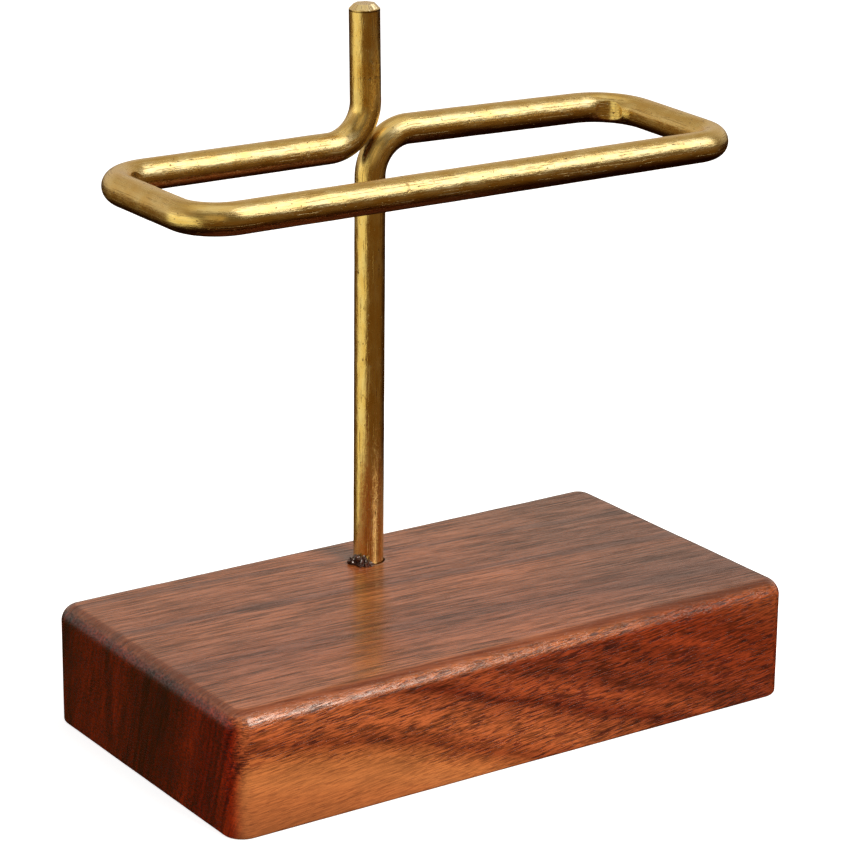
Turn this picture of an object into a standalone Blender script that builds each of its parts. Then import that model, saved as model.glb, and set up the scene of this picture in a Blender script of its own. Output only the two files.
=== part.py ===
"""Loop stand for leathercraft: one bent brass rod glued upright into a walnut block.

Metres, +Z up. The origin is the centre of the block's underside, +X runs along the block's long side
to the right, and +Y runs to its back. The rod is one piece: it rises from the block as a post, bends
right, runs once round a level rectangular loop, comes back to the post from the left and ends in a
short upright stub.
"""

from math import ceil, cos, pi, radians, sin, sqrt

import bmesh
import bpy
from mathutils import Matrix, Vector

# Walnut block
BLOCK_LENGTH = 0.105
BLOCK_DEPTH = 0.056
BLOCK_HEIGHT = 0.020
UPRIGHT_EDGE_RADIUS = 0.0035
TOP_EDGE_RADIUS = 0.0028
FOOT_EDGE_RADIUS = 0.0006
HOLE_DEPTH = 0.0150

# Brass rod
ROD_RADIUS = 0.0025
POST_FROM_BACK = 0.0112  # block's back face to the post's axis
POST_RISE = 0.0719  # block's top to the rod's axis where it turns into the loop
LOOP_RIGHT = 0.0483  # post's axis to the axis of the loop's right side
LOOP_LEFT = 0.0484  # post's axis to the axis of the loop's left side
LOOP_DEPTH = 0.0299  # back run's axis to front run's axis
BACK_RIGHT_DROP = 0.0008  # how far each corner hangs below the post's own corner
LOOP_DROP = 0.0016
STUB_RISE = 0.0224  # loop's left back run to the stub's tip
STUB_LEAN = 0.0004
TIP_CHAMFER = 0.0008
FOOT_CHAMFER = 0.0004

# Bends, at the rod's axis
POST_BEND = 0.0070
BACK_RIGHT_BEND = 0.0081
FRONT_RIGHT_BEND = 0.0058
FRONT_LEFT_BEND = 0.0064
BACK_LEFT_BEND = 0.0076
STUB_BEND = 0.0069
BEND_GAP = 0.00025  # between the stub's bend and the post's, which pass side by side

# Dents that the bending pin leaves inside the loop's two back corners
PIN_RADIUS = 0.0036
DENT_DEPTH = 0.0003

# Glue: a pool under the rod's end, and a bead squeezed out at the left of its foot
GAP = 0.0003  # between one piece's surface and the next
POOL_THICKNESS = 0.0009
BEAD_ANGLE = radians(205)  # round the post's axis, from +X
BEAD_OFFSET = 0.0010  # rod's surface to the bead's middle
BEAD_LENGTH = 0.0040
BEAD_WIDTH = 0.0024
BEAD_HEIGHT = 0.0011

# Facets
ROD_SIDES = 24
BEND_STEP = radians(15)
EDGE_SEGMENTS = 5
CUT_OVERRUN = 0.002  # how far a cutter reaches past what it cuts

FLOOR = 0.0
BLOCK_TOP = FLOOR + BLOCK_HEIGHT
HOLE_FLOOR = BLOCK_TOP - HOLE_DEPTH
HOLE_RADIUS = ROD_RADIUS + GAP
POST = Vector((0.0, BLOCK_DEPTH / 2 - POST_FROM_BACK, 0.0))


def clear_scene():
    for old in list(bpy.data.objects):
        bpy.data.objects.remove(old)


def material(name, colour, roughness, metallic=0.0):
    made = bpy.data.materials.new(name)
    made.use_nodes = True
    shader = made.node_tree.nodes["Principled BSDF"]
    shader.inputs["Base Color"].default_value = (*colour, 1.0)
    shader.inputs["Roughness"].default_value = roughness
    shader.inputs["Metallic"].default_value = metallic
    return made


def object_of(name, shape, finish=None):
    """A named object that holds the bmesh, which is freed."""
    mesh = bpy.data.meshes.new(name)
    bmesh.ops.recalc_face_normals(shape, faces=shape.faces)
    shape.to_mesh(mesh)
    shape.free()
    mesh.shade_smooth()
    mesh.set_sharp_from_angle(angle=radians(35))
    if finish:
        mesh.materials.append(finish)
    made = bpy.data.objects.new(name, mesh)
    bpy.context.scene.collection.objects.link(made)
    return made


def cylinder(radius, bottom, top, at, sides=ROD_SIDES):
    shape = bmesh.new()
    place = Matrix.Translation((at.x, at.y, (bottom + top) / 2))
    bmesh.ops.create_cone(
        shape, cap_ends=True, segments=sides, radius1=radius, radius2=radius, depth=top - bottom, matrix=place
    )
    return shape


def cut(target, cutter):
    """Cuts the cutter's shape from the target, and leaves the cutter out of the model."""
    cutter.hide_render = True
    cutter.display_type = "WIRE"
    difference = target.modifiers.new("cut_" + cutter.name, "BOOLEAN")
    difference.operation = "DIFFERENCE"
    difference.object = cutter


# ---- the walnut block


def round_edges(shape, chosen, radius):
    edges = [edge for edge in shape.edges if chosen(*(end.co for end in edge.verts))]
    bmesh.ops.bevel(shape, geom=edges, offset=radius, segments=EDGE_SEGMENTS, profile=0.5, affect="EDGES")


def walnut_base():
    shape = bmesh.new()
    size = (BLOCK_LENGTH, BLOCK_DEPTH, BLOCK_HEIGHT, 1.0)
    middle = Matrix.Translation((0.0, 0.0, (FLOOR + BLOCK_TOP) / 2))
    bmesh.ops.create_cube(shape, size=1.0, matrix=middle @ Matrix.Diagonal(size))
    near = 1e-6
    round_edges(shape, lambda a, b: abs(a.z - b.z) > near, UPRIGHT_EDGE_RADIUS)
    round_edges(shape, lambda a, b: min(a.z, b.z) > BLOCK_TOP - near, TOP_EDGE_RADIUS)
    round_edges(shape, lambda a, b: max(a.z, b.z) < FLOOR + near, FOOT_EDGE_RADIUS)
    base = object_of("walnut_base", shape, material("walnut", (0.18, 0.07, 0.035), 0.4))
    hole = cylinder(HOLE_RADIUS, HOLE_FLOOR, BLOCK_TOP + CUT_OVERRUN, POST)
    cut(base, object_of("hole_cutter", hole))
    return base


# ---- the brass rod


def stub_offset():
    """How far left of the post the stub stands, so that the two bends pass with BEND_GAP between them.

    Both bends lie in the back run's upright plane and bulge towards each other, so the distance between
    their centres is both bend radii, one rod's thickness and the gap.
    """
    bends = POST_BEND + STUB_BEND
    apart = bends + 2 * ROD_RADIUS + BEND_GAP
    return sqrt(apart**2 - (bends - LOOP_DROP) ** 2) - bends


def rod_corners():
    """The corners of the rod's axis before bending is rounded off, each with its bend's radius."""
    back = POST.y
    front = POST.y - LOOP_DEPTH
    level = BLOCK_TOP + POST_RISE
    hung = level - LOOP_DROP
    right = POST.x + LOOP_RIGHT
    left = POST.x - LOOP_LEFT
    stub = POST.x - stub_offset()
    foot = HOLE_FLOOR + POOL_THICKNESS + 2 * GAP
    return [
        (Vector((POST.x, back, foot)), 0.0),
        (Vector((POST.x, back, level)), POST_BEND),
        (Vector((right, back, level - BACK_RIGHT_DROP)), BACK_RIGHT_BEND),
        (Vector((right, front, hung)), FRONT_RIGHT_BEND),
        (Vector((left, front, hung)), FRONT_LEFT_BEND),
        (Vector((left, back, hung)), BACK_LEFT_BEND),
        (Vector((stub, back, hung)), STUB_BEND),
        (Vector((stub - STUB_LEAN, back, hung + STUB_RISE)), 0.0),
    ]


def bend(before, corner, after, radius):
    """The points of the arc that rounds a corner off, and the arc's centre."""
    inward = (before - corner).normalized()
    outward = (after - corner).normalized()
    half = inward.angle(outward) / 2
    centre = corner + (inward + outward).normalized() * (radius / sin(half))
    start = corner + inward * (radius * cos(half) / sin(half)) - centre
    axis = inward.cross(outward).normalized()
    turn = 2 * half - pi
    steps = ceil(abs(turn) / BEND_STEP)
    arc = [centre + Matrix.Rotation(turn * i / steps, 3, axis) @ start for i in range(steps + 1)]
    return arc, centre


def rod_axis():
    """The rod's axis from foot to tip as points, each with the rod's radius there."""
    corners = rod_corners()
    foot = corners[0][0]
    tip = corners[-1][0]
    up_post = Vector((0.0, 0.0, FOOT_CHAMFER))
    down_stub = (corners[-2][0] - tip).normalized() * TIP_CHAMFER
    axis = [(foot, ROD_RADIUS - FOOT_CHAMFER), (foot + up_post, ROD_RADIUS)]
    for (before, _), (corner, radius), (after, _) in zip(corners, corners[1:], corners[2:]):
        axis += [(point, ROD_RADIUS) for point in bend(before, corner, after, radius)[0]]
    return axis + [(tip + down_stub, ROD_RADIUS), (tip, ROD_RADIUS - TIP_CHAMFER)]


def sweep(axis):
    """A closed round bar along the axis. Its rings turn with the axis and don't twist round it."""
    shape = bmesh.new()
    points = [point for point, _ in axis]
    ways = [(after - before).normalized() for before, after in zip(points, points[1:])]
    sideways = Vector((1.0, 0.0, 0.0))
    rings = []
    facing = ways[0]
    for i, (point, radius) in enumerate(axis):
        way = (ways[max(i - 1, 0)] + ways[min(i, len(ways) - 1)]).normalized()
        sideways = facing.rotation_difference(way) @ sideways
        facing = way
        other = way.cross(sideways)
        turns = [2 * pi * k / ROD_SIDES for k in range(ROD_SIDES)]
        ring = [shape.verts.new(point + radius * (cos(t) * sideways + sin(t) * other)) for t in turns]
        rings.append(ring)
    for ring, following in zip(rings, rings[1:]):
        for k in range(ROD_SIDES):
            nearby = (k + 1) % ROD_SIDES
            shape.faces.new((ring[k], ring[nearby], following[nearby], following[k]))
    shape.faces.new(reversed(rings[0]))
    shape.faces.new(rings[-1])
    return shape


def dent_cutter(name, corner_index):
    """The bending pin, standing upright inside a corner of the loop and biting into the rod there."""
    corners = rod_corners()
    before, (corner, radius), after = corners[corner_index - 1], corners[corner_index], corners[corner_index + 1]
    centre = bend(before[0], corner, after[0], radius)[1]
    outward = (corner - centre).normalized()
    reach = radius - ROD_RADIUS + DENT_DEPTH - PIN_RADIUS
    pin_at = centre + outward * reach
    half = ROD_RADIUS + CUT_OVERRUN
    return object_of(name, cylinder(PIN_RADIUS, corner.z - half, corner.z + half, pin_at))


def brass_rod():
    rod = object_of("brass_rod", sweep(rod_axis()), material("brass", (0.62, 0.42, 0.16), 0.3, 1.0))
    cut(rod, dent_cutter("back_right_pin", 2))
    cut(rod, dent_cutter("back_left_pin", 5))
    return rod


# ---- the glue


def glue_pool(resin):
    """The glue that lies on the hole's floor under the rod's end."""
    bottom = HOLE_FLOOR + GAP
    pool = cylinder(HOLE_RADIUS - GAP, bottom, bottom + POOL_THICKNESS, POST)
    return object_of("glue_pool", pool, resin)


def glue_bead(resin):
    """The lump that squeezed out beside the rod's foot, hollowed where the rod stands."""
    shape = bmesh.new()
    outward = Matrix.Rotation(BEAD_ANGLE, 4, "Z")
    from_axis = ROD_RADIUS + BEAD_OFFSET
    middle = POST + outward @ Vector((from_axis, 0.0, BLOCK_TOP + GAP))
    size = Matrix.Diagonal((BEAD_WIDTH / 2, BEAD_LENGTH / 2, BEAD_HEIGHT, 1.0))
    place = Matrix.Translation(middle) @ outward @ size
    bmesh.ops.create_icosphere(shape, subdivisions=3, radius=1.0, matrix=place)
    flat = bmesh.ops.bisect_plane(
        shape, geom=[*shape.verts, *shape.edges, *shape.faces], plane_co=middle, plane_no=(0, 0, 1), clear_inner=True
    )
    rim = [piece for piece in flat["geom_cut"] if isinstance(piece, bmesh.types.BMEdge)]
    bmesh.ops.edgeloop_fill(shape, edges=rim)
    bead = object_of("glue_bead", shape, resin)
    rod_space = cylinder(ROD_RADIUS + GAP, BLOCK_TOP - CUT_OVERRUN, BLOCK_TOP + CUT_OVERRUN, POST)
    cut(bead, object_of("rod_space", rod_space))
    return bead


def main():
    clear_scene()
    walnut_base()
    brass_rod()
    resin = material("cured_glue", (0.03, 0.015, 0.01), 0.15)
    glue_pool(resin)
    glue_bead(resin)


main()
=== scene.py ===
"""Looks of the loop stand: a drawn brass rod, bent by hand and glued into an oiled walnut block."""

from math import atan2, ceil, cos, exp, hypot, pi, radians, sin, tau

import bpy
import numpy as np
from mathutils import Matrix, Vector, noise


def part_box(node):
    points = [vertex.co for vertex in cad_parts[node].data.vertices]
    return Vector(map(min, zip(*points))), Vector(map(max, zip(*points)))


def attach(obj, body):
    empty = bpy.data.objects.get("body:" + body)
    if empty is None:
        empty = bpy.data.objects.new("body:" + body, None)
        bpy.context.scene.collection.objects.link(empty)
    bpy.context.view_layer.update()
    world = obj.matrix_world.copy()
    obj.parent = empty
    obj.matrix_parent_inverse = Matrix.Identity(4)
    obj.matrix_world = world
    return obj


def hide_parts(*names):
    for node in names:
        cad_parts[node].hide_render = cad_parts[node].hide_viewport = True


MM = 0.001

# The rod, as its maker bends it
ROD_RADIUS = 2.5 * MM
POST_RISE = 71.9 * MM
BACK_RIGHT_DROP = 0.8 * MM
LOOP_DROP = 1.6 * MM
STUB_LEAN = 0.4 * MM
STUB_OFFSET = 0.78 * MM
STUB_RISE = 22.4 * MM
POST_BEND = 7.0 * MM
BACK_RIGHT_BEND = 8.1 * MM
FRONT_RIGHT_BEND = 5.8 * MM
FRONT_LEFT_BEND = 6.4 * MM
BACK_LEFT_BEND = 7.6 * MM
STUB_BEND = 6.9 * MM
TIP_CHAMFER = 0.8 * MM
PIN_RADIUS = 2.9 * MM
DENT_DEPTH = 0.6 * MM
DENTED_BENDS = (1, 4)  # back right and back left
FRONT_MARK = (-14.0 * MM, 0.35)  # its place along the front run, and half its width in millimetres
STUB_MARK = (11.7 * MM, 0.30)  # how far it is below the tip, and half its width in millimetres
OUT_OF_ROUND = 0.02 * MM
ROD_SIDES = 120
ROD_STEP = 0.5 * MM
BEND_STEP = 0.14 * MM
TIP_FLATS = 7
TIP_STEPS = 8
SHARP_ANGLE = radians(24)

# The block
UPRIGHT_EDGE_RADIUS = 3.5 * MM
TOP_EDGE_RADIUS = 2.8 * MM
FOOT_EDGE_RADIUS = 0.6 * MM
HOLE_RADIUS = 2.74 * MM
HOLE_BELOW_ROD = 1.5 * MM
HOLE_RINGS = 8
BLOCK_STEP = 0.5 * MM
FOOT_STEPS = 6
EDGE_STEPS = 16
TOP_STEPS = 60
HEAVY_SANDING = 0.03 * MM
LIGHT_SANDING = 0.01 * MM
FRONT_SANDING = 0.14  # how much further the rounding of the front edge reaches
UNEVEN_SANDING = 0.12
SMALL_UNEVEN_SANDING = 0.03

# The board's grain, which is worked out in millimetres
GRAIN_SCALE = 1000.0
RING_SLOPE = 3.3
RING_RISE = 0.944
RING_LENGTH = hypot(RING_SLOPE, RING_RISE)
GENTLE_DIP = 0.15
EXTRA_DIP = 0.19
STEEPER_FROM = -28.0
STEEPER_BLEND = 12.0
OUTER_SPAN = (-10.0, 40.0)
INNER_SPAN = (20.0, 220.0)
HEART_BEGINS = (33.0, 47.0)

# Growth rings, from the front bottom edge inwards: light wood with thin dark bands, then the heart.
# Each stop is a place along its span, and a colour.
OUTER_RINGS = [
    (0.10, (0.40, 0.120, 0.036)),
    (0.17, (0.48, 0.145, 0.042)),
    (0.22, (0.55, 0.180, 0.052)),
    (0.27, (0.51, 0.160, 0.044)),
    (0.31, (0.36, 0.094, 0.025)),
    (0.335, (0.22, 0.044, 0.012)),
    (0.37, (0.33, 0.075, 0.021)),
    (0.41, (0.38, 0.095, 0.028)),
    (0.475, (0.28, 0.060, 0.018)),
    (0.505, (0.13, 0.018, 0.006)),
    (0.56, (0.29, 0.056, 0.016)),
    (0.61, (0.15, 0.024, 0.008)),
    (0.68, (0.20, 0.031, 0.009)),
    (0.72, (0.16, 0.022, 0.006)),
    (0.77, (0.23, 0.032, 0.008)),
    (0.81, (0.16, 0.020, 0.005)),
    (0.92, (0.20, 0.036, 0.010)),
]
INNER_RINGS = [
    (0.00, (0.25, 0.060, 0.014)),
    (0.12, (0.30, 0.080, 0.022)),
    (0.18, (0.25, 0.062, 0.016)),
    (0.29, (0.19, 0.046, 0.013)),
    (0.44, (0.25, 0.066, 0.016)),
    (0.50, (0.30, 0.082, 0.022)),
    (0.60, (0.24, 0.064, 0.018)),
    (0.80, (0.27, 0.076, 0.020)),
    (1.00, (0.28, 0.084, 0.022)),
]
HEART_STREAKS = [(7.3, 1.7, 0.75), (20.8, 1.3, 0.6), (-10.4, 2.0, 0.35)]  # centre, half width and depth

# Colours of the wood
# Pale wood along the front edge, partly a painted highlight on its rounding
PALE_EDGE_AND_HIGHLIGHT = (0.38, 0.125, 0.040)
# Painted shade: a dark red line on the shoulder of the top's front edge
SHOULDER_PAINTED_SHADE = (0.17, 0.028, 0.006)
GREY_HEART = (0.46, 0.40, 0.48)
PORE_BROWN = (0.34, 0.20, 0.17)
OILED_END = (0.68, 0.14, 0.02)
GLUE_SMEAR = (0.46, 0.33, 0.26)

# Colours of the brass
DULL_BRASS = (0.82, 0.53, 0.15)
BRIGHT_BRASS = (0.93, 0.71, 0.30)
TARNISH_BROWN = (0.45, 0.27, 0.06)
SCORE_BROWN = (0.34, 0.17, 0.03)
PIT_BROWN = (0.16, 0.07, 0.02)
# Painted shade on the rod's downward faces
UNDERSIDE_PAINTED_SHADE = (0.13, 0.05, 0.01)
# Painted shade: a dark line round the foot of the tip's chamfer
CHAMFER_FOOT_SHADE = (0.12, 0.05, 0.01)
# Bright filed metal, partly a painted highlight on the tip
FILED_FLAT_AND_HIGHLIGHT = (1.0, 0.80, 0.44)

# Colours of the glue
DARK_GLUE = (0.040, 0.010, 0.006)
CLOUDY_GLUE = (0.24, 0.13, 0.11)

# Glue round the rod's foot
GLUE_TURN = radians(205)
GLUE_SPREAD = radians(46)
GLUE_SPAN = radians(68)
GLUE_REACH = 1.45 * MM
GLUE_RISE = 1.4 * MM
GLUE_THINNING = 0.05 * MM  # the glue's rise runs out before its reach does
GLUE_IN_ROD = 0.15 * MM
GLUE_IN_WOOD = 0.2 * MM
GLUE_RINGS = 150
GLUE_STEPS = 18

# Studio
TABLE_HALF = 3.0
TABLE_GAP = 0.02 * MM
TABLE_GLOW = 0.80
BACKDROP = (1.05, 1.05, 1.05)
SOFT_LIGHT = (0.30, 0.30, 0.30)
FRONT_WALL = (0.13, 0.10, 0.05)
BACK_WALL = (0.60, 0.53, 0.46)
HIGH_BACK_WALL = (0.44, 0.37, 0.27)
CEILING = (0.80, 0.76, 0.66)
NEAR_GROUND = (0.145, 0.076, 0.017)
FAR_GROUND = (0.026, 0.008, 0.001)
GROUND_BELOW = (0.02, 0.005, 0.001)
AIM_HEIGHT = 0.06

# Softboxes: name, which way it stands, how far off, its width and height, its brightness and its colour
BRASS_BOXES = [
    ("brass_key", (0.50, -0.58, 0.70), 0.7, (0.52, 0.58), 2.55, (0.70, 0.77, 1.0)),
    ("brass_side", (-0.98, 0.10, -0.12), 0.7, (0.95, 0.66), 0.82, (0.98, 1.0, 0.70)),
    ("brass_front", (-0.54, -0.78, 0.42), 0.8, (0.50, 0.42), 0.4, (1.0, 0.80, 0.45)),
]
WOOD_BOX = ("wood_key", (0.25, -0.72, 0.60), 0.9, (0.42, 0.62), 11.2, (1.0, 0.89, 0.78))

# Camera
CAMERA_TURN = radians(34.459)
CAMERA_TILT = radians(18.132)
CAMERA_ROLL = radians(0.65)
CAMERA_DISTANCE = 501.3 * MM
LOOKED_AT = Vector((1.984, 0.0, 47.875)) * MM
CAMERA_LENS = 135.45
CAMERA_SHIFT = (-0.02015, 0.00372)

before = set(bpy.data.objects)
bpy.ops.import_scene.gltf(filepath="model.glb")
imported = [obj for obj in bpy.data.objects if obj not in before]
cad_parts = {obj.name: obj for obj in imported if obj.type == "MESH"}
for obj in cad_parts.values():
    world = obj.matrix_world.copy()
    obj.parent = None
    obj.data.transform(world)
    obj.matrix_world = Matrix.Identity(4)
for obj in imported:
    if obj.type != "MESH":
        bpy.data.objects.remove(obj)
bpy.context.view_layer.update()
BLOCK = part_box("walnut_base")
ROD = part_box("brass_rod")
BLOCK_TOP = BLOCK[1].z
POST = Vector((0.0, ROD[1].y - ROD_RADIUS, 0.0))


# ---- materials


class Value:
    """A socket of a material. Python's operators on it add Math nodes."""

    def __init__(self, finish, socket):
        self.finish = finish
        self.socket = socket

    def maths(self, operation, *terms):
        return self.finish.node("ShaderNodeMath", {"operation": operation}, dict(enumerate(terms)))

    def __add__(self, other):
        return self.maths("ADD", self, other)

    def __sub__(self, other):
        return self.maths("SUBTRACT", self, other)

    def __rsub__(self, other):
        return self.maths("SUBTRACT", other, self)

    def __mul__(self, other):
        return self.maths("MULTIPLY", self, other)

    def __truediv__(self, other):
        return self.maths("DIVIDE", self, other)

    __radd__ = __add__
    __rmul__ = __mul__


class Finish:
    """A node tree that is built by calls. A Value given as an input is linked, and anything else is set."""

    def __init__(self, owner):
        owner.use_nodes = True
        self.owner = owner
        self.tree = owner.node_tree

    def node(self, kind, settings=None, inputs=None, output=0):
        made = self.tree.nodes.new(kind)
        for name, value in (settings or {}).items():
            if name == "stops":
                self.set_stops(made.color_ramp, value)
            else:
                setattr(made, name, value)
        self.fill(made, inputs or {})
        return Value(self, made.outputs[output])

    def fill(self, node, inputs):
        for name, value in inputs.items():
            if isinstance(value, Value):
                self.tree.links.new(value.socket, node.inputs[name])
            else:
                node.inputs[name].default_value = value

    def set_stops(self, ramp, stops):
        while len(ramp.elements) < len(stops):
            ramp.elements.new(1.0)
        for element, (position, colour) in zip(ramp.elements, stops):
            element.position = position
            element.color = (*colour, 1.0)

    def shader(self, **inputs):
        """Fills in the material's own Principled shader."""
        shader = self.tree.nodes["Principled BSDF"]
        self.fill(shader, {name.replace("_", " "): value for name, value in inputs.items()})

    # What the finishes of this object share

    def noise(self, vector, scale=1.0, detail=2.0, roughness=0.5):
        """Smooth noise about 0, from -1 to 1 at its furthest."""
        inputs = {"Vector": vector, "Scale": scale, "Detail": detail, "Roughness": roughness}
        return self.node("ShaderNodeTexNoise", {"normalize": True}, inputs) * 2.0 - 1.0

    def point(self, x, y, z):
        return self.node("ShaderNodeCombineXYZ", inputs={0: x, 1: y, 2: z})

    def split(self, vector):
        return [self.node("ShaderNodeSeparateXYZ", inputs={0: vector}, output=axis) for axis in range(3)]

    def between(self, value, low, high, to_low=0.0, to_high=1.0):
        """Goes smoothly from to_low to to_high while value goes from low to high."""
        inputs = {"Value": value, "From Min": low, "From Max": high, "To Min": to_low, "To Max": to_high}
        return self.node("ShaderNodeMapRange", {"interpolation_type": "SMOOTHSTEP"}, inputs)

    def distance(self, value, centre):
        """How far a value is from a centre."""
        return self.node("ShaderNodeMath", {"operation": "ABSOLUTE"}, {0: value - centre})

    def scaled(self, colour, factor):
        """A colour made lighter or darker by a value."""
        return self.node("ShaderNodeVectorMath", {"operation": "SCALE"}, {0: colour, "Scale": factor})

    def mix(self, factor, first, second, blend="MIX"):
        """Two colours mixed. A plain colour is given as its red, green and blue."""
        settings = {"data_type": "RGBA", "blend_type": blend}
        inputs = {0: factor, 6: rgba(first), 7: rgba(second)}
        return self.node("ShaderNodeMix", settings, inputs, output=2)


def rgba(colour):
    return colour if isinstance(colour, Value) else (*colour, 1.0)


def finish(name):
    return Finish(bpy.data.materials.new(name))


class Board:
    """Places in the block's own board. Rings, fibres and pores come from them, and so meet at the edges."""

    def __init__(self, wood):
        place = wood.node("ShaderNodeTexCoord", output=3)
        x, y, z = (axis * GRAIN_SCALE for axis in wood.split(place))
        self.x, self.y, self.z = x, y, z
        self.facing_x, _, self.facing_up = wood.split(wood.node("ShaderNodeNewGeometry", output=1))
        self.top = wood.between(self.facing_up, 0.6, 0.95)

        # Everything in the board dips towards its right end, and more steeply from near the left end on
        past = {0: x - STEEPER_FROM, 1: 0.0, 2: STEEPER_BLEND}
        steeper = wood.node("ShaderNodeMath", {"operation": "SMOOTH_MAX"}, past)
        dip = EXTRA_DIP * steeper + GENTLE_DIP * x
        sway = wood.noise(wood.point(x * 0.03, y * 0.08, z * 0.08), detail=1.0)
        ripple = wood.noise(wood.point(x * 0.12, y * 0.3, z * 0.3), detail=2.0)
        self.dip, self.ripple = dip, ripple

        # Which growth ring it is, and how far across the rings and round them
        front = BLOCK[0].y * GRAIN_SCALE
        inwards = y + 0.146 * dip + 0.22 * sway + 0.10 * ripple
        upwards = z + 0.488 * dip + 0.6 * sway + 0.4 * ripple
        self.rings = RING_SLOPE * (inwards - front) + upwards * RING_RISE
        self.across = self.rings / RING_LENGTH
        self.around = (upwards * RING_SLOPE - inwards * RING_RISE) / RING_LENGTH

        # Fibres climb a little to the right on the front, and slant a little on the top
        self.fibre_y = y + 0.17 * dip + 0.15 * ripple
        self.fibre_z = z - 0.10 * x + 0.2 * ripple


def ring_colours(wood, rings, span, stops):
    """The colours of the rings in a span."""
    first, last = span
    place = wood.node("ShaderNodeMapRange", {}, {"Value": rings, "From Min": first, "From Max": last})
    return wood.node("ShaderNodeValToRGB", {"stops": stops}, {0: place})


def fibres(wood, board):
    """Fine fibres for the sides, long lines for all of it, and streaks for the top."""
    fine = wood.point(board.x * 0.30, board.fibre_y * 1.8, board.fibre_z * 5.0)
    lines = wood.point(board.x * 0.06, board.across * 0.9, board.around * 0.2)
    streaks = wood.point(board.x * 0.09, board.fibre_y * 2.3, board.z * 0.6)
    return (
        wood.noise(fine, detail=2.0, roughness=0.8),
        wood.noise(lines, detail=5.0, roughness=0.75),
        wood.noise(streaks, detail=3.0, roughness=0.8),
    )


def open_pores(wood, board):
    """Short dark lines along the fibres, coarser in the darker wood."""
    crowd = wood.noise(wood.point(board.x * 0.06, board.y * 0.35, board.z * 0.35), detail=1.0)
    sides = wood.noise(wood.point(board.x * 0.40, board.fibre_y * 2.2, board.fibre_z * 4.4), detail=1.0)
    sides = wood.between(sides + 0.25 * crowd, 0.14, 0.28)
    above = wood.point(board.x * 0.10, board.fibre_y * 1.3, board.z * 2.0)
    above = wood.noise(above, detail=2.0, roughness=0.7)
    above = wood.between(above + 0.2 * crowd, 0.12, 0.45)
    pores = sides + board.top * (0.35 * above - sides)
    return pores * wood.between(board.rings, 1.0, 8.0, 0.35, 1.0)


def front_edge(wood, board, tone, grain):
    """Along the top's front edge the wood is paler, partly with a painted highlight, and its shoulder has a
    painted red shade. The top's right end is darker.
    """
    # Paler wood on the top and the rounded front edge, partly a painted highlight there
    pale = wood.between(board.facing_up, 0.1, 0.5) * wood.between(board.rings, 46.0, 32.0)
    pale = pale * wood.between(board.x, 38.0, 12.0) * 0.6
    tone = wood.mix(pale, tone, wood.scaled(PALE_EDGE_AND_HIGHLIGHT, 1.0 + grain))
    # Painted shade: a dark red line where the front edge's rounding meets the top
    shoulder = wood.between(board.facing_up, 0.78, 0.90) * wood.between(board.facing_up, 0.998, 0.97)
    tone = wood.mix(shoulder * 0.65, tone, SHOULDER_PAINTED_SHADE)
    return wood.scaled(tone, 1.0 - 0.42 * board.top * wood.between(board.x, 8.0, 42.0))


def heart_streaks(wood, board, tone):
    """Three grey streaks of heartwood along the top."""
    heart = board.y + 0.35 * board.dip + 0.9 * board.ripple
    for centre, half_width, depth in HEART_STREAKS:
        streak = wood.between(wood.distance(heart, centre), half_width, 0.3 * half_width, 0.0, depth)
        tone = wood.mix(streak, tone, GREY_HEART, "MULTIPLY")
    return tone


def end_grain(wood, board, tone):
    """End grain drinks more oil, and shows broad bands and thin lines."""
    facing_end = wood.between(board.facing_x * board.facing_x, 0.10, 0.80)
    lines = wood.point(board.x * 0.2, board.across * 1.6, board.around * 0.07)
    lines = wood.noise(lines, detail=4.0, roughness=0.8)
    turn = (board.y + 0.29 * board.z + 16.0) * (tau / 33.0)
    bands = wood.node("ShaderNodeMath", {"operation": "COSINE"}, {0: turn})
    drunk = wood.scaled(tone, 0.95 + 0.36 * bands - 0.006 * board.y + 1.7 * lines)
    return wood.mix(facing_end, tone, wood.mix(1.0, drunk, OILED_END, "MULTIPLY"))


def glue_smear(wood, board, tone):
    """A pale smear of glue round the post's foot."""
    off_y = board.y - POST.y * GRAIN_SCALE
    near = wood.node("ShaderNodeMath", {"operation": "SQRT"}, {0: board.x * board.x + off_y * off_y})
    ragged = wood.noise(wood.point(board.x * 1.1, board.y * 1.6, board.z), detail=3.0)
    return wood.mix(wood.between(near + 1.6 * ragged, 3.5, 2.7, 0.0, 0.3), tone, GLUE_SMEAR)


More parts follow.
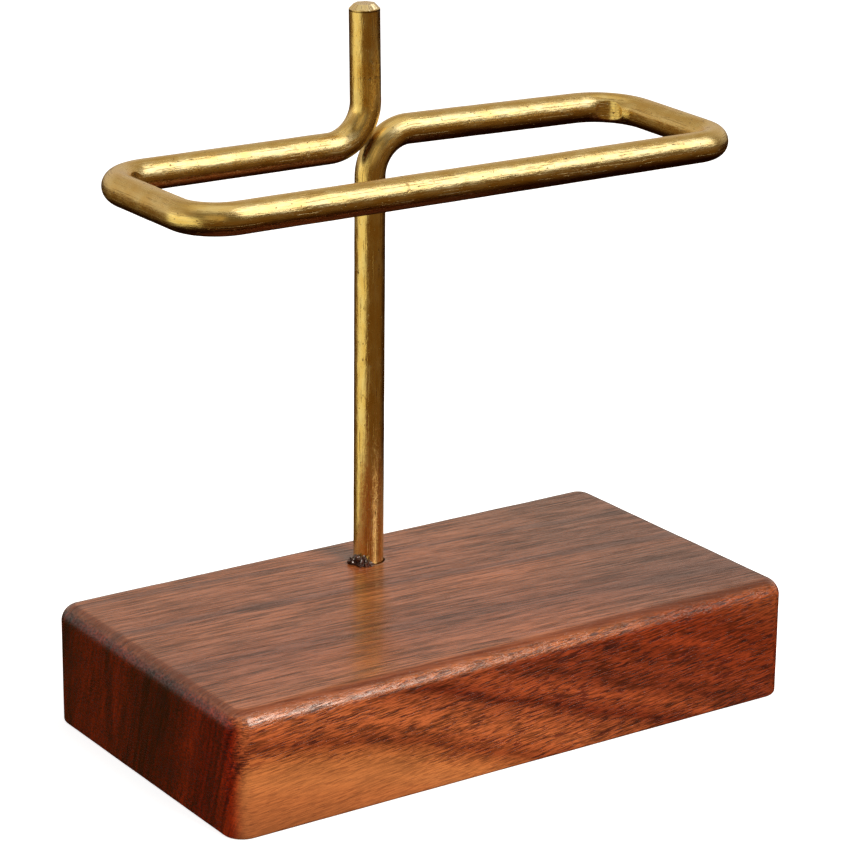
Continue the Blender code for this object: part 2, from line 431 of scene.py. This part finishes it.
def walnut():
    """Oiled walnut, cut so that its growth rings stand almost upright and run a little across the block."""
    wood = finish("oiled_walnut")
    board = Board(wood)
    fine, lines, streaks = fibres(wood, board)
    pores = open_pores(wood, board)

    outer = ring_colours(wood, board.rings, OUTER_SPAN, OUTER_RINGS)
    inner = ring_colours(wood, board.rings, INNER_SPAN, INNER_RINGS)
    tone = wood.mix(wood.between(board.rings, *HEART_BEGINS), outer, inner)
    clouds = wood.noise(wood.point(board.x * 0.05, board.y * 0.13, board.z * 0.13), detail=2.0)
    calm = wood.between(board.rings, 1.0, 8.0, 0.3, 1.0)
    on_side = 3.1 * fine + 1.2 * lines
    on_top = 3.1 * streaks + 1.4 * lines
    grain = wood.between(on_side + board.top * (on_top - on_side), -1.0, 1.0, -0.62, 0.68)
    tone = wood.scaled(tone, 1.05 + grain * calm + 0.35 * clouds)
    tone = front_edge(wood, board, tone, grain)
    tone = heart_streaks(wood, board, tone)
    tone = wood.mix(pores * 0.9, tone, PORE_BROWN, "MULTIPLY")
    tone = end_grain(wood, board, tone)
    tone = glue_smear(wood, board, tone)

    # Sanding left the rounded edge a little uneven, and hands have polished it
    rounded = wood.between(board.facing_up, 0.1, 0.3) * wood.between(board.facing_up, 0.999, 0.98)
    chatter = wood.noise(wood.point(board.x * 1.3, board.y * 2.6, board.z * 2.6), detail=3.0, roughness=0.7)
    relief = fine * 0.45 + lines * 0.4 + streaks * board.top * 1.3 - pores * 0.35 + chatter * rounded
    bump = wood.node("ShaderNodeBump", {}, {"Height": relief, "Strength": 0.8, "Distance": 0.06 * MM})
    rough = wood.between(fine + lines, -0.8, 0.8, 0.26, 0.15)
    oil = board.top * wood.between(streaks + 0.6 * lines, -0.35, 0.40, 0.0, 0.8)
    polish = wood.between(board.facing_up, 0.1, 0.3) * wood.between(board.facing_up, 0.95, 0.80)
    polish = polish * wood.between(chatter + 0.6 * fine, -0.35, 0.35)
    wood.shader(
        Base_Color=tone,
        Roughness=rough + 0.2 * pores,
        Normal=bump,
        Specular_IOR_Level=0.5,
        IOR=1.5,
        Coat_Weight=oil + polish,
        Coat_Roughness=0.13,
    )
    return wood.owner


def brass(marks, tip):
    """Drawn brass, rubbed by hand. The rod's own attribute gives each point's place on the straight rod."""
    metal = finish("rubbed_brass")
    straight = metal.node("ShaderNodeAttribute", {"attribute_name": "straight"}, output=1)
    side, up, along = (axis * GRAIN_SCALE for axis in metal.split(straight))
    lines = metal.noise(metal.point(side * 4.5, up * 4.5, along * 0.22), detail=3.0, roughness=0.65)
    rubbed = metal.noise(metal.point(side * 0.7, up * 0.7, along * 0.30), detail=3.0, roughness=0.6)
    grime = metal.noise(metal.point(side * 1.5, up * 1.5, along * 0.55), detail=4.0, roughness=0.7)
    tarnish = metal.between(grime + 0.4 * lines, 0.10, 0.55)
    specks = metal.noise(metal.point(side * 2.6, up * 2.6, along * 1.5), detail=1.0)
    pits = metal.between(specks + 0.3 * grime, 0.44, 0.56)
    for mark, width in marks:
        off = metal.distance(along + 0.4 * rubbed, mark)
        pits = pits + metal.between(off, width, 0.3 * width) * metal.between(specks, -0.2, 0.4) * 0.6
    draws = metal.noise(metal.point(side * 5.5, up * 5.5, along * 0.10), detail=1.0)
    scores = metal.between(draws + 0.3 * grime, 0.30, 0.48)

    colour = metal.mix(metal.between(rubbed + 0.5 * lines, -0.6, 0.6), DULL_BRASS, BRIGHT_BRASS)
    colour = metal.mix(tarnish * 0.5, colour, TARNISH_BROWN)
    colour = metal.mix(scores * 0.5, colour, SCORE_BROWN)
    colour = metal.mix(pits * 0.75, colour, PIT_BROWN)
    _, _, facing_up = metal.split(metal.node("ShaderNodeNewGeometry", output=1))
    # Painted shade: the rod darkens where it faces down
    colour = metal.mix(metal.between(facing_up, -0.25, -0.65, 0.0, 0.9), colour, UNDERSIDE_PAINTED_SHADE)
    colour = tip_colour(metal, colour, along - tip)

    relief = lines * 0.36 + rubbed * 1.1 + grime * 0.2 - pits * 1.2 - scores * 0.6
    bump = metal.node("ShaderNodeBump", {}, {"Height": relief, "Strength": 0.8, "Distance": 0.05 * MM})
    rough = metal.between(lines + rubbed, -0.9, 0.9, 0.20, 0.32)
    metal.shader(Base_Color=colour, Metallic=1.0, Roughness=rough + 0.12 * tarnish, Normal=bump)
    return metal.owner


def tip_colour(metal, colour, past_tip):
    """The filed tip is bright, partly with a painted highlight, and a line of painted shade runs round the
    foot of its chamfer. The tip's end is at 0.
    """
    # Painted shade: a dark line round the foot of the chamfer
    dark = metal.between(metal.distance(past_tip, -1.02), 0.16, 0.05, 0.0, 0.8)
    # Bright filed metal, partly a painted highlight on the chamfer and the flat
    filed = metal.between(past_tip, -0.95, -0.75, 0.0, 0.6)
    return metal.mix(filed, metal.mix(dark, colour, CHAMFER_FOOT_SHADE), FILED_FLAT_AND_HIGHLIGHT)


def glue_finish():
    """Dark, glossy glue with cloudy patches."""
    resin = finish("cured_glue")
    place = resin.node("ShaderNodeTexCoord", output=3)
    cloud = resin.noise(place, scale=1400.0, detail=3.0)
    resin.shader(
        Base_Color=resin.mix(resin.between(cloud, 0.0, 0.5), DARK_GLUE, CLOUDY_GLUE),
        Roughness=resin.between(cloud, -0.5, 0.5, 0.04, 0.15),
        Coat_Weight=1.0,
        Coat_Roughness=0.03,
    )
    return resin.owner


# ---- shapes


def piece(name, points, faces, material, node):
    """A smooth-shaded mesh that rides with the stand and stands for a CAD node."""
    mesh = bpy.data.meshes.new(name)
    mesh.from_pydata([tuple(point) for point in points], [], faces)
    mesh.validate()
    mesh.materials.append(material)
    mesh.shade_smooth()
    mesh.set_sharp_from_angle(angle=SHARP_ANGLE)
    made = bpy.data.objects.new(name, mesh)
    bpy.context.scene.collection.objects.link(made)
    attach(made, "root")
    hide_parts(node)
    return made


def tube_faces(rings, sides):
    """The quads between successive rings of points, and a cap at each end."""
    faces = []
    count = rings * sides
    for ring in range(rings - 1):
        for k in range(sides):
            a, b = ring * sides + k, ring * sides + (k + 1) % sides
            faces.append((a, b, b + sides, a + sides))
    faces.append(tuple(reversed(range(sides))))
    faces.append(tuple(range(count - sides, count)))
    return faces


def bend_arc(before, corner, after, radius):
    """The start, centre, turn and axis of the arc that rounds a corner off."""
    inward = (before - corner).normalized()
    outward = (after - corner).normalized()
    half = inward.angle(outward) / 2
    centre = corner + (inward + outward).normalized() * (radius / sin(half))
    start = corner + inward * (radius * cos(half) / sin(half))
    return start, centre, 2 * half - pi, inward.cross(outward).normalized()


def rod_corners():
    """The corners of the rod's axis from its foot to its tip, each with its bend's radius."""
    back, front = POST.y, ROD[0].y + ROD_RADIUS
    right, left = ROD[1].x - ROD_RADIUS, ROD[0].x + ROD_RADIUS
    level = BLOCK_TOP + POST_RISE
    hung = level - LOOP_DROP
    return [
        (Vector((0.0, back, ROD[0].z)), 0.0),
        (Vector((0.0, back, level)), POST_BEND),
        (Vector((right, back, level - BACK_RIGHT_DROP)), BACK_RIGHT_BEND),
        (Vector((right, front, hung)), FRONT_RIGHT_BEND),
        (Vector((left, front, hung)), FRONT_LEFT_BEND),
        (Vector((left, back, hung)), BACK_LEFT_BEND),
        (Vector((-STUB_OFFSET, back, hung)), STUB_BEND),
        (Vector((-STUB_OFFSET - STUB_LEAN, back, hung + STUB_RISE)), 0.0),
    ]


def rod_axis():
    """Points along the rod's axis, and the centre of each bend with the way out to its corner."""
    corners = rod_corners()
    line = [corners[0][0]]
    bends = []

    def run_to(end, step=ROD_STEP):
        start = line[-1]
        steps = max(1, ceil((end - start).length / step))
        line.extend(start.lerp(end, (i + 1) / steps) for i in range(steps))

    for (before, _), (corner, radius), (after, _) in zip(corners, corners[1:], corners[2:]):
        start, centre, turn, axis = bend_arc(before, corner, after, radius)
        run_to(start)
        steps = ceil(abs(turn) * radius / BEND_STEP)
        for i in range(1, steps + 1):
            line.append(centre + Matrix.Rotation(turn * i / steps, 3, axis) @ (start - centre))
        bends.append((centre, (corner - centre).normalized(), radius))
    tip = corners[-1][0]
    run_to(tip + (line[-1] - tip).normalized() * 1.5 * TIP_CHAMFER)
    run_to(tip, TIP_CHAMFER / TIP_STEPS)
    return line, bends


def rod_lengths(line):
    """How far along the rod each point of its axis is."""
    lengths = [0.0]
    for a, b in zip(line, line[1:]):
        lengths.append(lengths[-1] + (b - a).length)
    return lengths


def rod_marks():
    """Where the bending jig marked the rod, in millimetres along it, and how wide each mark is."""
    line, _ = rod_axis()
    lengths = rod_lengths(line)
    front_x, front_width = FRONT_MARK
    stub_drop, stub_width = STUB_MARK
    front_spot = Vector((front_x, ROD[0].y + ROD_RADIUS, line[-1].z - STUB_RISE))
    stub_spot = line[-1] - Vector((0.0, 0.0, stub_drop))
    marks = []
    for spot, width in ((front_spot, front_width), (stub_spot, stub_width)):
        nearest = min(range(len(line)), key=lambda i: (line[i] - spot).length)
        marks.append((lengths[nearest] * GRAIN_SCALE, width))
    return marks, lengths[-1] * GRAIN_SCALE


def tip_radius(left_over, turn):
    """The tip's chamfer is filed by hand, in a few flats."""
    cut = TIP_CHAMFER - left_over
    if cut <= 0:
        return ROD_RADIUS
    flat = pi / TIP_FLATS
    off = turn % (2 * flat) - flat
    return min(ROD_RADIUS, (ROD_RADIUS - cut) * (1 + 1.1 * (cos(flat) / cos(off) - cos(flat / 2))))


def brass_rod(material):
    """The rod is swept along its axis, from its foot to its filed tip."""
    line, bends = rod_axis()
    lengths = rod_lengths(line)
    ways = [(b - a).normalized() for a, b in zip(line, line[1:])]
    pins = []
    for bend in DENTED_BENDS:
        centre, outward, radius = bends[bend]
        pins.append(centre + outward * (radius - ROD_RADIUS + DENT_DEPTH - PIN_RADIUS))
    points, straight = [], []
    sideways, facing = Vector((1.0, 0.0, 0.0)), ways[0]
    for i, middle in enumerate(line):
        way = (ways[max(i - 1, 0)] + ways[min(i, len(ways) - 1)]).normalized()
        sideways = facing.rotation_difference(way) @ sideways
        facing = way
        other = way.cross(sideways)
        for k in range(ROD_SIDES):
            turn = tau * k / ROD_SIDES
            out = cos(turn) * sideways + sin(turn) * other
            on_straight = Vector((ROD_RADIUS * cos(turn), ROD_RADIUS * sin(turn), lengths[i]))
            radius = tip_radius(lengths[-1] - lengths[i], turn)
            radius -= OUT_OF_ROUND * (1 + noise.noise(on_straight / (4 * MM)))
            points.append(pressed(middle + out * radius, pins))
            straight.append(on_straight)
    rod = piece("brass_rod_drawn", points, tube_faces(len(line), ROD_SIDES), material, "brass_rod")
    held = rod.data.attributes.new("straight", "FLOAT_VECTOR", "POINT")
    held.data.foreach_set("vector", np.array(straight, np.float32).ravel())
    return rod


def pressed(point, pins):
    """The point moved out of the bending pins, which stand upright inside the loop's corners."""
    for pin in pins:
        away = Vector((point.x - pin.x, point.y - pin.y))
        if away.length < PIN_RADIUS and abs(point.z - pin.z) < 2 * ROD_RADIUS:
            away = away.normalized() * PIN_RADIUS
            point = Vector((pin.x + away.x, pin.y + away.y, point.z))
    return point


def rounded_outline(half_x, half_y, radius, count):
    """Places evenly round a rectangle with rounded corners, each with its way out."""
    corners = [(half_x - radius, half_y - radius), (radius - half_x, half_y - radius)]
    corners += [(radius - half_x, radius - half_y), (half_x - radius, radius - half_y)]
    arc = pi / 2 * radius
    runs = [2 * (half_y - radius), 2 * (half_x - radius)] * 2
    around = sum(runs) + 4 * arc
    outline = []
    for i in range(count):
        gone = around * i / count
        quarter = 0
        while gone > runs[quarter] + arc:
            gone -= runs[quarter] + arc
            quarter += 1
        left_over = runs[quarter] - gone
        angle = quarter * pi / 2 + max(0.0, -left_over) / radius
        out = Vector((cos(angle), sin(angle), 0.0))
        back = Vector((sin(angle), -cos(angle), 0.0)) * max(0.0, left_over)
        outline.append((Vector((*corners[quarter], 0.0)) + out * radius + back, out))
    return outline


def edge_levels():
    """The block's rings from the underside up.

    Each is how far in it is, how high it is, its share of the edge's rounding and how near the hole it is.
    """
    levels = []
    for i in range(FOOT_STEPS + 1):
        turn = pi / 2 * i / FOOT_STEPS
        levels.append((FOOT_EDGE_RADIUS * (1 - sin(turn)), FOOT_EDGE_RADIUS * (1 - cos(turn)), 0.0, 0.0))
    side = BLOCK_TOP - TOP_EDGE_RADIUS - FOOT_EDGE_RADIUS
    steps = round(side / BLOCK_STEP)
    for i in range(1, steps):
        levels.append((0.0, FOOT_EDGE_RADIUS + side * i / steps, 0.0, 0.0))
    for i in range(EDGE_STEPS + 1):
        turn = pi / 2 * i / EDGE_STEPS
        levels.append((0.0, BLOCK_TOP - TOP_EDGE_RADIUS * (1 - sin(turn)), 1 - cos(turn), 0.0))
    for i in range(1, TOP_STEPS + 1):
        levels.append((0.0, BLOCK_TOP, 1.0, i / TOP_STEPS))
    return levels


def walnut_base(material):
    """A stack of rings: up the sides, over the sanded edge, across the top to the hole and down into it."""
    low, high = BLOCK
    half_x, half_y = (high.x - low.x) / 2, (high.y - low.y) / 2
    count = 4 * round((half_x + half_y) / BLOCK_STEP)
    outline = rounded_outline(half_x, half_y, UPRIGHT_EDGE_RADIUS, count)
    points = []
    for inset, height, rounding, inwards in edge_levels():
        for place, out in outline:
            spot = place - out * (inset + rounding * edge_rounding(place, out)) - out * sanding(place, height)
            angle = atan2(spot.y - POST.y, spot.x - POST.x)
            rim = POST + Vector((cos(angle), sin(angle), 0.0)) * HOLE_RADIUS
            spot = spot.lerp(rim, inwards)
            dip = HEAVY_SANDING * (1 + noise.noise(spot / (9 * MM))) * (1 - inwards) * rounding
            points.append(Vector((spot.x, spot.y, height - dip)))
    hole_rim = points[-count:]
    hole_floor = ROD[0].z - HOLE_BELOW_ROD
    for depth in np.linspace(0.1 * MM, BLOCK_TOP - hole_floor, HOLE_RINGS):
        points.extend(Vector((rim.x, rim.y, BLOCK_TOP - depth)) for rim in hole_rim)
    block = piece("walnut_block", points, tube_faces(len(points) // count, count), material, "walnut_base")
    return block


def edge_rounding(place, out):
    """How far the top edge's rounding reaches in. Hand sanding took more off the front, and not evenly."""
    front = max(0.0, -out.y)
    uneven = UNEVEN_SANDING * noise.noise(place / (7 * MM))
    uneven += SMALL_UNEVEN_SANDING * noise.noise(place / (2 * MM))
    reach = TOP_EDGE_RADIUS * (1 + FRONT_SANDING * front + uneven * (0.5 + front))
    return min(reach, 0.97 * UPRIGHT_EDGE_RADIUS)


def sanding(place, height):
    """The little that sanding took off the sides, always inwards."""
    spot = place + Vector((0.0, 0.0, height))
    broad = HEAVY_SANDING * (1 + noise.noise(spot / (12 * MM)))
    return broad + LIGHT_SANDING * (1 + noise.noise(spot / (4 * MM)))


def glue_shape(turn):
    """How far the glue reaches out over the wood and up the rod, at an angle round the rod."""
    off = (turn - GLUE_TURN + pi) % tau - pi
    lump = exp(-((off / GLUE_SPREAD) ** 4))
    return GLUE_REACH * lump, GLUE_RISE * lump - GLUE_THINNING


def glue(material):
    """Glue squeezed out at the rod's left front. Each ring runs over the lump and closes in rod and wood."""
    foot = Vector((POST.x, POST.y, BLOCK_TOP))
    points = []
    for j in range(GLUE_RINGS):
        turn = GLUE_TURN + GLUE_SPAN * (1 - 2 * j / (GLUE_RINGS - 1))
        out = Vector((cos(turn), sin(turn), 0.0))
        reach, rise = glue_shape(turn)
        for i in range(GLUE_STEPS):
            t = pi / 2 * i / (GLUE_STEPS - 1)
            far = reach * cos(t)
            high = Vector((0.0, 0.0, rise * sin(t)))
            spot = foot + out * (ROD_RADIUS + far) + high
            swell = 1 + 0.45 * noise.noise(spot / (0.55 * MM)) + 0.3 * noise.noise(spot / (0.25 * MM))
            points.append(foot + out * (ROD_RADIUS + far * swell) + high * swell)
        points.append(foot + out * (ROD_RADIUS - GLUE_IN_ROD) - Vector((0.0, 0.0, GLUE_IN_WOOD)))
    lump = piece("glue_squeeze_out", points, tube_faces(GLUE_RINGS, GLUE_STEPS + 1), material, "glue_bead")
    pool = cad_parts["glue_pool"]
    pool.data.materials.clear()
    pool.data.materials.append(material)
    return lump


# ---- studio


def light_table():
    """The plain white table under the stand. It is seen, but it neither shades nor colours the stand."""
    mesh = bpy.data.meshes.new("light_table")
    half = TABLE_HALF
    low = -TABLE_GAP
    corners = [(-half, -half, low), (half, -half, low), (half, half, low), (-half, half, low)]
    mesh.from_pydata(corners, [], [(0, 1, 2, 3)])
    table = bpy.data.objects.new("light_table", mesh)
    bpy.context.scene.collection.objects.link(table)
    white = finish("light_table_white")
    white.shader(
        Base_Color=(0.9, 0.9, 0.9, 1.0),
        Roughness=1.0,
        Specular_IOR_Level=0.0,
        Emission_Color=(1.0, 1.0, 1.0, 1.0),
        Emission_Strength=TABLE_GLOW,
    )
    mesh.materials.append(white.owner)
    table.visible_glossy = False
    table.visible_diffuse = False
    table.visible_shadow = False
    return table


def softbox(name, towards, distance, size, radiance, colour, lit):
    """A rectangular light that faces the stand, as bright as in a mirror. It lights only some pieces."""
    width, height = size
    lamp = bpy.data.lights.new(name, "AREA")
    lamp.shape = "RECTANGLE"
    lamp.size = width
    lamp.size_y = height
    lamp.color = colour
    lamp.energy = radiance * pi * width * height
    made = bpy.data.objects.new(name, lamp)
    bpy.context.scene.collection.objects.link(made)
    way = Vector(towards).normalized()
    made.location = Vector((0.0, 0.0, AIM_HEIGHT)) + way * distance
    made.rotation_mode = "QUATERNION"
    made.rotation_quaternion = way.to_track_quat("Z", "Y")
    made.visible_camera = False
    receivers = bpy.data.collections.new(name + "_lights")
    for piece_lit in lit:
        receivers.objects.link(piece_lit)
    made.light_linking.receiver_collection = receivers


def room_colour(room):
    """What the brass and the oil reflect: warm walls, paler behind and above, and a dark brown ground."""
    x, y, z = room.split(room.node("ShaderNodeTexCoord", output=0))
    back = room.between(y, -0.5, 0.35)
    walls = room.mix(back, FRONT_WALL, BACK_WALL)
    walls = room.mix(room.between(z, 0.38, 0.62), walls, room.mix(back, FRONT_WALL, HIGH_BACK_WALL))
    walls = room.mix(room.between(z, 0.78, 0.97), walls, CEILING)
    ground = room.mix(room.between(x + y, 0.25, 0.95), NEAR_GROUND, FAR_GROUND)
    ground = room.mix(room.between(z, -0.75, -0.25), GROUND_BELOW, ground)
    return room.mix(room.between(z, -0.12, 0.12), ground, walls)


def studio(brass_pieces, other_pieces):
    """A white backdrop, soft even light, and softboxes of their own for the brass and for the rest."""
    world = bpy.data.worlds.new("studio")
    bpy.context.scene.world = world
    room = Finish(world)
    seen = room.node("ShaderNodeLightPath", output=0)
    soft = room.node("ShaderNodeLightPath", output=2)
    colour = room.mix(soft, room_colour(room), SOFT_LIGHT)
    colour = room.mix(seen, colour, BACKDROP)
    room.fill(room.tree.nodes["Background"], {"Color": colour, "Strength": 1.0})
    for box in BRASS_BOXES:
        softbox(*box, brass_pieces)
    softbox(*WOOD_BOX, other_pieces)


def camera():
    """A long lens that sees the whole stand from its left front, a little from above."""
    data = bpy.data.cameras.new("camera")
    data.sensor_width = 36.0
    data.lens = CAMERA_LENS
    data.shift_x, data.shift_y = CAMERA_SHIFT
    data.clip_start = 0.01
    data.clip_end = 20.0
    ahead = Vector((sin(CAMERA_TURN), cos(CAMERA_TURN), 0.0))
    forward = ahead * cos(CAMERA_TILT) - Vector((0.0, 0.0, sin(CAMERA_TILT)))
    level = Vector((cos(CAMERA_TURN), -sin(CAMERA_TURN), 0.0))
    right = cos(CAMERA_ROLL) * level + sin(CAMERA_ROLL) * level.cross(forward)
    up = right.cross(forward)
    made = bpy.data.objects.new("camera", data)
    bpy.context.scene.collection.objects.link(made)
    turned = Matrix((right, up, -forward)).transposed().to_4x4()
    made.matrix_world = Matrix.Translation(LOOKED_AT - forward * CAMERA_DISTANCE) @ turned
    bpy.context.scene.camera = made


def main():
    bpy.context.scene.view_settings.view_transform = "Standard"
    camera()
    marks, tip = rod_marks()
    rod = brass_rod(brass(marks, tip))
    block = walnut_base(walnut())
    resin = glue(glue_finish())
    studio([rod], [block, resin, light_table()])


main()
